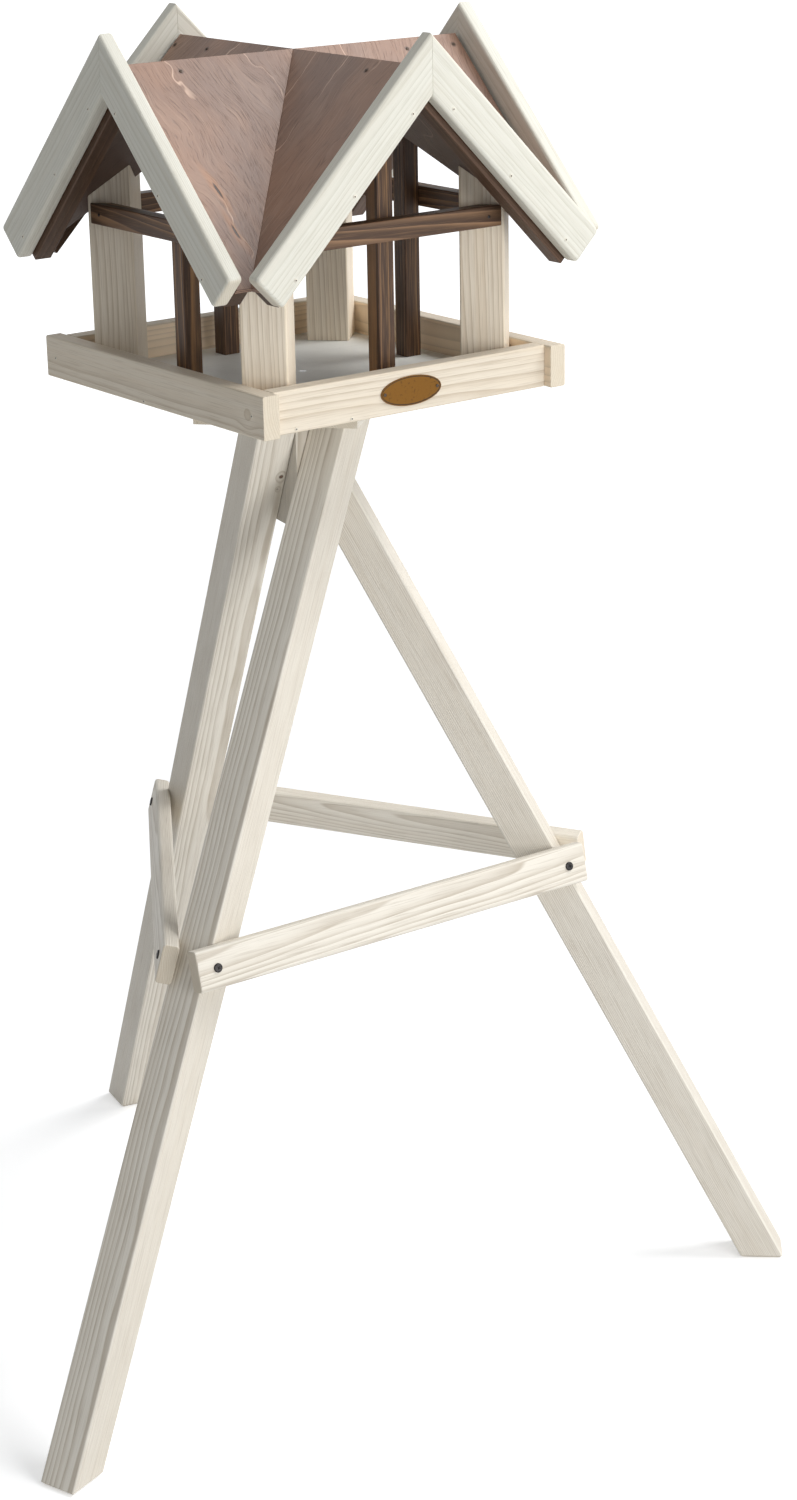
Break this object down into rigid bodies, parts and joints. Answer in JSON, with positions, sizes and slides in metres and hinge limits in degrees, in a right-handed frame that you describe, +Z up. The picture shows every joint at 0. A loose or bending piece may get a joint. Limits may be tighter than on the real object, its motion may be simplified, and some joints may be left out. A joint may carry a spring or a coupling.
{
  "type": "bird feeding house on a stand",
  "caption": "Open wooden bird feeding house with a cross-gabled plywood roof, half-timbered posts and crossbars, and a rimmed tray, on a braced three-legged stand.",
  "frame": {"origin": "on the ground under the middle of the bounding box", "axes": "+Z up; the front gable faces -Y and the tray's long side boards run along Y"},
  "size_m": [0.9657, 0.8914, 1.4495],
  "materials": {
    "glazed_pine": "pine under a thin white glaze, fine straight grain showing through",
    "stand_pine": "planed pine under a thin white glaze, parallel grain lines",
    "stained_pine": "pine stained dark brown, matt",
    "brown_plywood": "rotary-cut plywood stained brown, plies showing at the edges",
    "pale_panel": "pale glazed panel",
    "bronze": "aged bronze-coloured metal, bare",
    "nail_steel": "dull steel nails",
    "screw_steel": "bright zinc-plated screws",
    "dark_steel": "blackened screws and nails"
  },
  "bodies": {
    "root": {"floor_panel": "pale_panel", "rim_front": "glazed_pine", "rim_back": "glazed_pine", "rim_left": "glazed_pine", "rim_right": "glazed_pine", "corner_post_front_left": "glazed_pine", "corner_post_front_right": "glazed_pine", "corner_post_back_right": "glazed_pine", "corner_post_back_left": "glazed_pine", "centre_post_front": "stained_pine", "centre_post_right": "stained_pine", "centre_post_back": "stained_pine", "centre_post_left": "stained_pine", "crossbar_front": "stained_pine", "crossbar_right": "stained_pine", "crossbar_back": "stained_pine", "crossbar_left": "stained_pine", "roof_panel_front_left": "brown_plywood", "roof_panel_front_right": "brown_plywood", "roof_panel_right_left": "brown_plywood", "roof_panel_right_right": "brown_plywood", "roof_panel_back_left": "brown_plywood", "roof_panel_back_right": "brown_plywood", "roof_panel_left_left": "brown_plywood", "roof_panel_left_right": "brown_plywood", "batten_front_left": "stained_pine", "batten_front_right": "stained_pine", "batten_right_left": "stained_pine", "batten_right_right": "stained_pine", "batten_back_left": "stained_pine", "batten_back_right": "stained_pine", "batten_left_left": "stained_pine", "batten_left_right": "stained_pine", "bargeboard_front_left": "glazed_pine", "bargeboard_front_right": "glazed_pine", "bargeboard_right_left": "glazed_pine", "bargeboard_right_right": "glazed_pine", "bargeboard_back_left": "glazed_pine", "bargeboard_back_right": "glazed_pine", "bargeboard_left_left": "glazed_pine", "bargeboard_left_right": "glazed_pine", "name_plate": "bronze", "top_plate": "stand_pine", "core_block": "stand_pine", "leg_left": "stand_pine", "leg_right": "stand_pine", "leg_back": "stand_pine", "brace_front": "stand_pine", "brace_back": "stand_pine", "brace_left": "stand_pine", "rim_nails": "nail_steel", "bar_nails": "dark_steel", "roof_nails": "nail_steel", "bargeboard_nails": "nail_steel", "name_plate_pins": "bronze", "floor_screws": "screw_steel", "plate_screws": "screw_steel", "core_screws": "screw_steel", "brace_screws": "dark_steel"}
  },
  "joints": []
}
